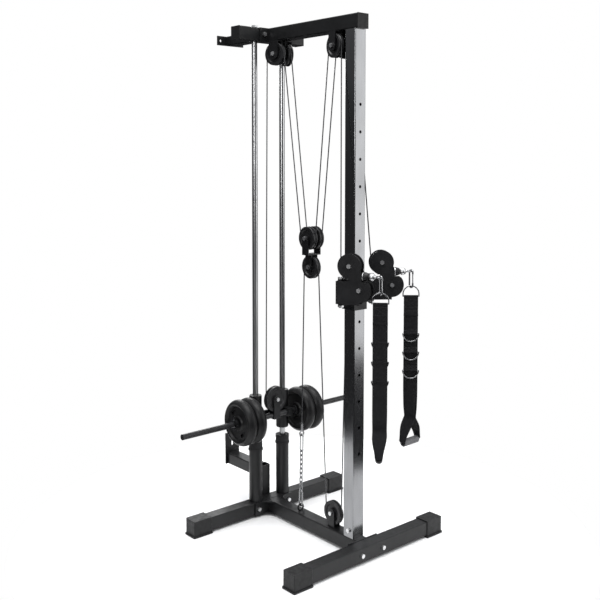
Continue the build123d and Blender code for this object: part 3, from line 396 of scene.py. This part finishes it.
def tube(name, points, radius, material, closed=False, sides=20):
    """A round tube along points, its section carried without twist."""
    points = [Vector(p) for p in points]
    count = len(points)
    verts, uvs, faces = [], [], []
    side = None
    travelled = 0.0
    for i, p in enumerate(points):
        before = points[i - 1] if i or closed else p
        after = points[(i + 1) % count] if i < count - 1 or closed else p
        along = (after - before).normalized()
        if side is None:
            side = along.orthogonal().normalized()
        side = (side - along * side.dot(along)).normalized()
        up = along.cross(side)
        if i:
            travelled += (p - points[i - 1]).length
        for k in range(sides):
            a = 2 * math.pi * k / sides
            verts.append(p + (side * math.cos(a) + up * math.sin(a)) * radius)
            uvs.append((k / sides * 2 * math.pi * radius, travelled))
    rings = count if closed else count - 1
    for i in range(rings):
        a, b = i * sides, ((i + 1) % count) * sides
        for k in range(sides):
            m = (k + 1) % sides
            faces.append((a + k, a + m, b + m, b + k))
    if not closed:
        faces.append(tuple(range(sides))[::-1])
        faces.append(tuple(range((count - 1) * sides, count * sides)))
    return new_object(name, verts, faces, material, uvs=uvs)


def lathe(name, profile, place, material, sides=40):
    """Turns (along, radius) points about local Z; place puts them in the row frame."""
    verts, faces = [], []
    for along, radius in profile:
        for k in range(sides):
            a = 2 * math.pi * k / sides
            verts.append(place @ Vector((radius * math.cos(a), radius * math.sin(a), along)))
    for i in range(len(profile) - 1):
        for k in range(sides):
            m = (k + 1) % sides
            a, b = i * sides, (i + 1) * sides
            faces.append((a + k, a + m, b + m, b + k))
    faces.append(tuple(range(sides))[::-1])
    faces.append(tuple(range((len(profile) - 1) * sides, len(profile) * sides)))
    turned = face_outwards(new_object(name, verts, faces, material), merge=True)
    turned.data.set_sharp_from_angle(angle=SHARP_ANGLE)
    return turned


def arc(centre, radius, start, stop, steps, u, v):
    """Points of a circle about centre, in the plane of unit vectors u and v; angles in degrees."""
    points = []
    for i in range(steps + 1):
        a = math.radians(start + (stop - start) * i / steps)
        points.append(centre + (u * math.cos(a) + v * math.sin(a)) * radius)
    return points


def frame_of(origin, x, y, z):
    """The matrix of a frame with this origin and these axes."""
    m = Matrix.Identity(4)
    for i, axis in enumerate((x, y, z)):
        m.col[i][:3] = axis
    m.col[3][:3] = origin
    return m


# --- cables ----------------------------------------------------------------------
def islands(node):
    """The vertices of each separate solid in a CAD node."""
    work = bmesh.new()
    work.from_mesh(NODES[node].data)
    bmesh.ops.remove_doubles(work, verts=work.verts, dist=MERGE_DIST)
    left = set(work.verts)
    groups = []
    while left:
        queue = [left.pop()]
        group = []
        while queue:
            vert = queue.pop()
            group.append(vert.co.copy())
            for edge in vert.link_edges:
                other = edge.other_vert(vert)
                if other in left:
                    left.remove(other)
                    queue.append(other)
        groups.append(group)
    work.free()
    return groups


def run_ends(group):
    """The middles of a straight run's upper and lower ends."""
    middle = (min(p.z for p in group) + max(p.z for p in group)) / 2
    ends = []
    for half in ([p for p in group if p.z > middle], [p for p in group if p.z <= middle]):
        low = Vector([min(p[i] for p in half) for i in range(3)])
        high = Vector([max(p[i] for p in half) for i in range(3)])
        ends.append((low + high) / 2)
    return ends


def body_box(body):
    """The low and high corners of all of a body's CAD nodes."""
    boxes = [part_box(node) for node in frame["record"]["behaviour"]["bodies"][body]]
    return [Vector([pick(b[k][i] for b in boxes) for i in range(3)]) for k, pick in ((0, min), (1, max))]


def cables():
    """Straight taut runs between the machine and a moving body."""
    for node, body in (("block_cable_runs", "block"), ("weight_cable_runs", "carriage"),
                       ("trolley_cable_runs", "trolley")):
        low, high = body_box(body)
        centre = (low.z + high.z) / 2
        for i, group in enumerate(islands(node)):
            upper, lower = run_ends(group)
            ends = [("root", upper), (body, lower)]
            if abs(upper.z - centre) < abs(lower.z - centre):
                ends = [("root", lower), (body, upper)]
            (body_a, a), (body_b, b) = ends
            run = tube(f"{body}_run_{i}", [a, b], CABLE_R, MATERIALS["steel_cable"])
            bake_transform(run)
            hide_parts(node)


def guide_rods():
    """The two hard-chromed rods, as fine round bars with chamfered ends."""
    for i, group in enumerate(islands("guide_rods")):
        low = Vector([min(p[k] for p in group) for k in range(3)])
        high = Vector([max(p[k] for p in group) for k in range(3)])
        radius = (high.x - low.x) / 2
        length = high.z - low.z
        place = Matrix.Translation(((low.x + high.x) / 2, (low.y + high.y) / 2, low.z))
        profile = [(0, radius - ROD_CHAMFER), (ROD_CHAMFER, radius),
                   (length - ROD_CHAMFER, radius), (length, radius - ROD_CHAMFER)]
        rod = lathe(f"guide_rod_{i}", profile, place, MATERIALS["chromed_rod"], sides=64)
        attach(rod, "root")
        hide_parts("guide_rods")


# --- swivels, stops and hooks -------------------------------------------------------
def sheave_centre(side):
    return Vector(JOINTS[f"{side}_upper_swivel_sheave_spin"]["pos_m"])


def swivel_cable(side):
    """The cable round the swivel's upper sheave and out to the stop."""
    centre = sheave_centre(side)
    ahead = Vector(JOINTS[f"{side}_pull"]["axis"])
    pivot = Vector(JOINTS[f"{side}_swivel_turn"]["pos_m"])
    exit_z = centre.z - SWIVEL_PITCH_R
    points = arc(centre, SWIVEL_PITCH_R, 180, 270, 18, ahead, UP)
    end = Vector((pivot.x, pivot.y, exit_z)) + ahead * (STOP_T + CABLE_LEAD)
    lead = points[-1] + ahead * CABLE_LEAD
    cable = tube(f"{side}_swivel_cord", points + [lead, end], CABLE_R, MATERIALS["steel_cable"])
    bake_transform(cable)
    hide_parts(f"{side}_swivel_cable")


def cable_stop(side):
    """Washer, rubber cone, ball ferrule and eye, along the cable's end."""
    ahead = Vector(JOINTS[f"{side}_pull"]["axis"])
    pivot = Vector(JOINTS[f"{side}_swivel_turn"]["pos_m"])
    centre = sheave_centre(side)
    base = Vector((pivot.x, pivot.y, centre.z - SWIVEL_PITCH_R))
    place = frame_of(base, ahead.cross(UP).normalized(), UP, ahead)
    rim = WASHER_R - WASHER_EDGE
    washer = [(STOP_T, WASHER_HOLE_R), (STOP_T, rim),
              (STOP_T + 0.5 * MM, WASHER_R), (STOP_T + 2.4 * MM, WASHER_R),
              (STOP_T + WASHER_T, rim), (STOP_T + WASHER_T, WASHER_HOLE_R)]
    cone = [(STOP_T + along * MM, radius * MM) for along, radius in CONE_MM]
    middle = STOP_T + BALL_AHEAD
    ball = [(middle + BALL_R * math.cos(math.radians(a)), BALL_R * math.sin(math.radians(a)))
            for a in range(140, 18, -6)]
    ball += [(middle + BALL_NECK, BALL_NECK_R), (EYE_T - EYE_R - 1 * MM, 4.6 * MM),
             (EYE_T - EYE_R + 1 * MM, 3.2 * MM)]
    pieces = [lathe(f"{side}_stop_washer", washer, place, MATERIALS["zinc_hardware"]),
              lathe(f"{side}_stop_rubber", cone, place, MATERIALS["cable_stop"]),
              lathe(f"{side}_stop_ferrule", ball, place, MATERIALS["zinc_hardware"])]
    eye = base + ahead * EYE_T
    flat = place.col[0].to_3d()
    ring = arc(eye, EYE_R, 0, 360, 40, ahead, flat)[:-1]
    pieces.append(tube(f"{side}_stop_eye", ring, EYE_WIRE, MATERIALS["ring_steel"], closed=True))
    for piece in pieces:
        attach(piece, f"{side}_stop")
        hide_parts(f"{side}_cable_stop")


def hook_frame(side):
    """Where the snap hook hangs on the eye's wire: origin, its flat direction and its axis."""
    joint = JOINTS[f"{side}_hook_swing"]
    axis = Vector(joint["axis"])
    return Vector(joint["pos_m"]), Vector((-axis.y, axis.x, 0)), axis


def snap_hook(side):
    """A bent wire body with a gate and its two pins."""
    origin, flat, across = hook_frame(side)
    bow_top = HOOK_R - HOOK_WIRE - EYE_WIRE - LINK_PLAY
    high = origin - UP * bow_top
    low = high - UP * HOOK_SPAN
    # the open body: from above the gate's hinge, round both bows, to the nose
    body = [low + flat * HOOK_R + UP * 9 * MM]
    body += arc(low, HOOK_R, 0, -180, 20, flat, UP)
    body += arc(high, HOOK_R, 180, 0, 20, flat, UP)
    body += [high + flat * HOOK_R - UP * 5 * MM]
    gate = [low + flat * HOOK_R + UP * 7 * MM, high + flat * HOOK_R - UP * 4 * MM]
    pieces = [tube(f"{side}_hook_body", body, HOOK_WIRE, MATERIALS["ring_steel"]),
              tube(f"{side}_hook_gate", gate, GATE_WIRE, MATERIALS["zinc_hardware"])]
    for i, at in enumerate((low + flat * HOOK_R + UP * 6 * MM, high + flat * HOOK_R - UP * 3.2 * MM)):
        ends = [at - across * GATE_PIN_HALF, at + across * GATE_PIN_HALF]
        pieces.append(tube(f"{side}_hook_pin_{i}", ends, GATE_PIN_R, MATERIALS["zinc_hardware"]))
    for piece in pieces:
        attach(piece, f"{side}_hook")
        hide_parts(f"{side}_carabiner")


# --- straps --------------------------------------------------------------------------
def strap_frame(side):
    """The strap's own frame: origin on the handle ring's bar, x across the webbing, z up."""
    pos = Vector(JOINTS[f"{side}_handle_swing"]["pos_m"])
    bar = pos + Vector((0, 0, HOOK_WIRE + RING_WIRE + LINK_PLAY - RING_HALF - RING_LEG))
    turn = math.radians(STRAP_TURN[side])
    x = Vector((math.sin(turn), -math.cos(turn), 0))
    return frame_of(bar, x, UP.cross(x), UP)


def smooth(t):
    """Eases from 0 to 1 and stays there outside 0..1."""
    t = min(1.0, max(0.0, t))
    return t * t * (3 - 2 * t)


def strap_path(side):
    """The band's run in the strap's frame, as (centre, width direction, half width)."""
    turn = math.radians(GRIP_TURN[side])
    u = Vector((math.cos(turn), math.sin(turn), 0))
    twist_end = turn - math.pi / 2
    gap = WEB_T / 2 + 0.1 * MM
    wrap_r = RING_WIRE + 0.15 * MM + WEB_T / 2
    path = []

    def across(drop):
        a = twist_end * smooth((drop - TWIST_DROP) / (FORK_DROP - TWIST_DROP))
        return Vector((math.cos(a), math.sin(a), 0))

    def ply(face, drop):
        """A point of the doubled part: face -1 is the front ply, +1 the back one."""
        x = across(drop)
        normal = Vector((-x.y, x.x, 0))
        opens = smooth((drop - 380 * MM) / (90 * MM))
        closes = smooth((FORK_DROP + 20 * MM - drop) / (60 * MM))
        bulge = 5 * MM * opens * closes
        ripple = 0.5 * MM * math.sin(drop * 37 + face) * smooth(drop / (60 * MM))
        offset = normal * (face * (gap + bulge) + ripple)
        wide = WEB_HALF - 1 * MM * smooth((drop - 420 * MM) / (90 * MM))
        return offset - Vector((0, 0, drop)), x, wide

    # up the back for the turned-in end, round the bar, then down the front
    for i in range(8):
        point, x, wide = ply(1, (34 - 4 * i) * MM)
        path.append((point, x, wide))
    for i in range(11):
        a = math.radians(-20 + 22 * i)
        path.append((Vector((0, wrap_r * math.cos(a), wrap_r * math.sin(a))), Vector((1, 0, 0)), WEB_HALF))
    for i in range(1, PLY_STEPS + 1):
        path.append(ply(-1, 6 * MM + (FORK_DROP - 6 * MM) * i / PLY_STEPS))
    path += grip_turn(u, across(FORK_DROP))
    for i in range(PLY_STEPS, TOP_STEPS, -1):
        path.append(ply(1, 6 * MM + (FORK_DROP - 6 * MM) * i / PLY_STEPS))
    return path


def grip_turn(u, x):
    """From the fork down one leg, through the grip and up the other, as a rounded triangle."""
    normal = Vector((-x.y, x.x, 0))
    lead = -1 if u.dot(normal) > 0 else 1
    reach, low = GRIP_HALF + 3 * MM, -GRIP_DROP
    path = []
    corner = 9 * MM
    top = Vector((0, 0, -FORK_DROP))
    for leg in (lead, -lead):
        end = u * leg * reach + Vector((0, 0, low))
        leg_path = []
        for i in range(1, 15):
            t = i / 15
            point = top.lerp(end + Vector((0, 0, corner)), t)
            sag = u * leg * 7 * MM * math.sin(math.pi * t)
            wide = LEG_FORK_HALF - LEG_NARROWING * smooth((t - 0.3) / 0.7)
            leg_path.append((point + sag, x, wide))
        bend = []
        for i in range(7):
            a = math.radians(15 * i)
            centre = end + Vector((0, 0, corner)) - u * leg * corner
            point = centre + u * leg * corner * math.cos(a) - Vector((0, 0, corner * math.sin(a)))
            bend.append((point, x, (LEG_FOOT_HALF_MM - LEG_GRIP_NARROWING_MM * i / 6) * MM))
        leg_path += bend
        if leg != lead:
            leg_path.reverse()
        path += leg_path
    return path


def band_mesh(name, path, thickness, place, material):
    """A band with rounded selvedges swept along path; UVs are metres across and along."""
    verts, uvs, faces = [], [], []
    # half widths across, thicknesses through
    section = [(-1.0, 0.0), (-0.985, -0.4), (-0.94, -0.5), (-0.5, -0.46), (0.0, -0.45), (0.5, -0.46),
               (0.94, -0.5), (0.985, -0.4), (1.0, 0.0), (0.985, 0.4), (0.94, 0.5), (0.5, 0.46),
               (0.0, 0.45), (-0.5, 0.46), (-0.94, 0.5), (-0.985, 0.4)]
    count = len(section)
    travelled = 0.0
    for i, (centre, x, wide) in enumerate(path):
        before, after = path[max(0, i - 1)][0], path[min(len(path) - 1, i + 1)][0]
        along = (after - before).normalized()
        side = (x - along * x.dot(along)).normalized()
        normal = side.cross(along)
        if i:
            travelled += (centre - path[i - 1][0]).length
        for a, b in section:
            verts.append(place @ (centre + side * a * wide + normal * b * thickness))
            uvs.append((a * WEB_HALF, travelled))
    for i in range(len(path) - 1):
        a, b = i * count, (i + 1) * count
        for k in range(count):
            m = (k + 1) % count
            faces.append((a + k, b + k, b + m, a + m))
    faces.append(tuple(range(count)))
    faces.append(tuple(range((len(path) - 1) * count, len(path) * count))[::-1])
    return face_outwards(new_object(name, verts, faces, material, uvs=uvs)), travelled


def keeper_bands(side, place):
    """A plain sewn band on both faces, then each ring's keeper loop and the seam behind it."""
    made = []
    face = BAND_SIDE[side]
    for i in range(BAND_COUNT):
        drop = BAND_DROP + i * BAND_PITCH
        bar = Vector((0, face * (3.0 * MM + RING_WIRE + 0.1 * MM), -drop))
        x = Vector((1, 0, 0))
        ply_y = face * (WEB_T + 1.0 * MM)
        for f in (face, -face) if i == 0 else (-face,):
            flat = [(Vector((0, f * (WEB_T + 0.4 * MM + lift * MM), -drop + s * MM)), x, WEB_HALF + 0.3 * MM)
                    for s, lift in SEAM_MM]
            label = "front" if f < 0 else "rear"
            made.append(band_mesh(f"{side}_{label}_seam_{i}", flat, SEAM_T, place, MATERIALS["webbing"])[0])
        if i == 0:
            continue
        r = RING_WIRE + 0.1 * MM + KEEPER_T / 2
        path = [(Vector((0, ply_y, -drop + 22 * MM)), x, WEB_HALF - 0.6 * MM),
                (Vector((0, ply_y, -drop + 14 * MM)), x, WEB_HALF - 0.5 * MM),
                (Vector((0, ply_y + face * 0.4 * MM, -drop + 9 * MM)), x, WEB_HALF - 0.5 * MM)]
        for a in range(60, -121, -20):
            t = math.radians(a)
            path.append((bar + Vector((0, face * r * math.cos(t), r * math.sin(t))), x, WEB_HALF - 0.5 * MM))
        path.append((Vector((0, ply_y - face * 0.2 * MM, -drop - 6 * MM)), x, WEB_HALF - 0.5 * MM))
        made.append(band_mesh(f"{side}_ring_keeper_{i}", path, KEEPER_T, place, MATERIALS["webbing"])[0])
    return made


def stitching(side, place):
    """Rows of thread: two above each band, and a crossed box below the handle ring on both faces."""
    verts, faces = [], []
    face = BAND_SIDE[side]
    lines = []
    for i in range(BAND_COUNT):
        drop = BAND_DROP + i * BAND_PITCH
        for row in TACK_ROWS:
            lines.append(((-0.9, -drop + row), (0.9, -drop + row), face, TACK_LIFT))
    for f in (-1, 1):
        a, b, c, d = BOX_CORNERS
        for p, q in ((a, b), (b, c), (c, d), (d, a), (a, c), (b, d)):
            lines.append((p, q, f, 0.0))
    for p, q, f, lift in lines:
        start = Vector((p[0] * WEB_HALF, 0, p[1]))
        end = Vector((q[0] * WEB_HALF, 0, q[1]))
        along = (end - start).normalized()
        side_way = Vector((0, 1, 0)).cross(along)
        count = int((end - start).length / STITCH_PITCH)
        y = f * (WEB_T + 0.15 * MM + lift)
        for k in range(count):
            centre = start + along * (k + 0.5) * STITCH_PITCH + Vector((0, y, 0))
            base = len(verts)
            for s, w, h in STITCH_POINTS:
                point = centre + along * s * STITCH_LENGTH / 2 + side_way * w * STITCH_HALF
                verts.append(place @ (point + Vector((0, f * h * MM, 0))))
            for corners in STITCH_FACES:
                faces.append(tuple(base + n for n in corners))
    return face_outwards(new_object(f"{side}_strap_stitching", verts, faces, THREAD))


def grip(side, place):
    """A ribbed foam tube with rounded ends."""
    turn = math.radians(GRIP_TURN[side])
    u = place.to_3x3() @ Vector((math.cos(turn), math.sin(turn), 0))
    centre = place @ Vector((0, 0, -GRIP_DROP))
    around = frame_of(centre, UP.cross(u), UP, u)
    half = GRIP_HALF
    profile = [(-half + 1.5 * MM, GRIP_BORE_R), (-half, 12 * MM),
               (-half, GRIP_END_R), (-half + 2 * MM, GRIP_R)]
    for i in range(GRIP_RIBS * 4 + 1):
        s = -half + 5 * MM + (2 * half - 10 * MM) * i / (GRIP_RIBS * 4)
        profile.append((s, GRIP_R - 0.7 * MM * (0.5 - 0.5 * math.cos(math.pi * i / 2))))
    profile += [(half - 2 * MM, GRIP_R), (half, GRIP_END_R),
                (half, 12 * MM), (half - 1.5 * MM, GRIP_BORE_R)]
    sides = 40
    verts, faces = [], []
    for s, r in profile:
        for k in range(sides):
            a = 2 * math.pi * k / sides
            verts.append(around @ Vector((r * math.cos(a), r * math.sin(a), s)))
    rows = len(profile)
    for i in range(rows):
        a, b = i * sides, ((i + 1) % rows) * sides
        for k in range(sides):
            m = (k + 1) % sides
            faces.append((a + k, a + m, b + m, b + k))
    return face_outwards(new_object(f"{side}_grip", verts, faces, GRIP_FOAM))


def strap(side):
    """The whole handle: webbing, bands and keepers, stitching and grip."""
    place = strap_frame(side)
    path = strap_path(side)
    web, length = band_mesh(f"{side}_webbing", path, WEB_T, place, MATERIALS["webbing"])
    keepers = keeper_bands(side, place)
    threads = stitching(side, place)
    tube_piece = grip(side, place)
    body = f"{side}_handle"
    for piece in [web, threads, tube_piece] + keepers:
        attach(piece, body)
        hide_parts(f"{side}_strap")


# --- floor, light and camera -----------------------------------------------------------
def studio():
    """The floor disc, the world and the four lights."""
    angles = [2 * math.pi * k / FLOOR_SIDES for k in range(FLOOR_SIDES)]
    verts = [(FLOOR_R * math.cos(a), FLOOR_R * math.sin(a), 0) for a in angles]
    floor = new_object("floor", verts, [tuple(range(FLOOR_SIDES))], floor_material(), smooth=False)
    floor.location.z = -0.0005
    studio_world()
    for light in LIGHTS:
        area_light(*light)


def studio_world():
    """White behind the object; soft grey for light and reflections, darker low down."""
    world = bpy.context.scene.world or bpy.data.worlds.new("world")
    bpy.context.scene.world = world
    world.use_nodes = True
    nodes = world.node_tree.nodes
    links = world.node_tree.links
    background = nodes["Background"]
    background.inputs["Strength"].default_value = 1.0
    coords = nodes.new("ShaderNodeTexCoord")
    axes = nodes.new("ShaderNodeSeparateXYZ")
    links.new(coords.outputs["Generated"], axes.inputs["Vector"])
    ramp = nodes.new("ShaderNodeValToRGB")
    ramp.color_ramp.elements[0].position = 0.52
    ramp.color_ramp.elements[0].color = (0.05, 0.05, 0.053, 1)
    ramp.color_ramp.elements[1].position = 0.85
    ramp.color_ramp.elements[1].color = (0.8, 0.81, 0.83, 1)
    spread = nodes.new("ShaderNodeMath")
    spread.operation = "MULTIPLY_ADD"
    spread.inputs[1].default_value = 0.5
    spread.inputs[2].default_value = 0.5
    links.new(axes.outputs["Z"], spread.inputs[0])
    links.new(spread.outputs["Value"], ramp.inputs["Fac"])
    rays = nodes.new("ShaderNodeLightPath")
    mix = nodes.new("ShaderNodeMix")
    mix.data_type = "RGBA"
    # a colour mix takes its two colours at inputs 6 and 7 and gives its result at output 2
    mix.inputs[7].default_value = (1, 1, 1, 1)
    links.new(rays.outputs["Is Camera Ray"], mix.inputs["Factor"])
    links.new(ramp.outputs["Color"], mix.inputs[6])
    links.new(mix.outputs[2], background.inputs["Color"])


def floor_material():
    s = Shader("pale_floor", (0.95, 0.95, 0.95), 0.6)
    s.vary_colour(s.noise(1.2, 3), 0.995, 1.005)
    return s.mat


def area_light(name, place, target, size, power):
    data = bpy.data.lights.new(name, "AREA")
    data.size = size
    data.energy = power
    light = bpy.data.objects.new(name, data)
    light.location = place
    light.rotation_euler = (Vector(target) - Vector(place)).to_track_quat("-Z", "Y").to_euler()
    bpy.context.scene.collection.objects.link(light)


def camera():
    data = bpy.data.cameras.new("camera")
    data.sensor_width = 36
    data.lens = 52.14
    data.shift_x = 0.006
    data.shift_y = -0.1412
    view = bpy.data.objects.new("camera", data)
    # 1.64 m up, looking down a little, from the front on the -X side
    view.location = (-2.468, -2.848, 1.636)
    view.rotation_euler = (math.radians(90 - 3.78), 0, math.radians(-40.48))
    bpy.context.scene.collection.objects.link(view)
    bpy.context.scene.camera = view


def main():
    dress_frame()
    guide_rods()
    cables()
    for side in SIDES:
        swivel_cable(side)
        cable_stop(side)
        snap_hook(side)
        strap(side)
    studio()
    camera()
    bpy.context.scene.view_settings.view_transform = "Standard"


main()
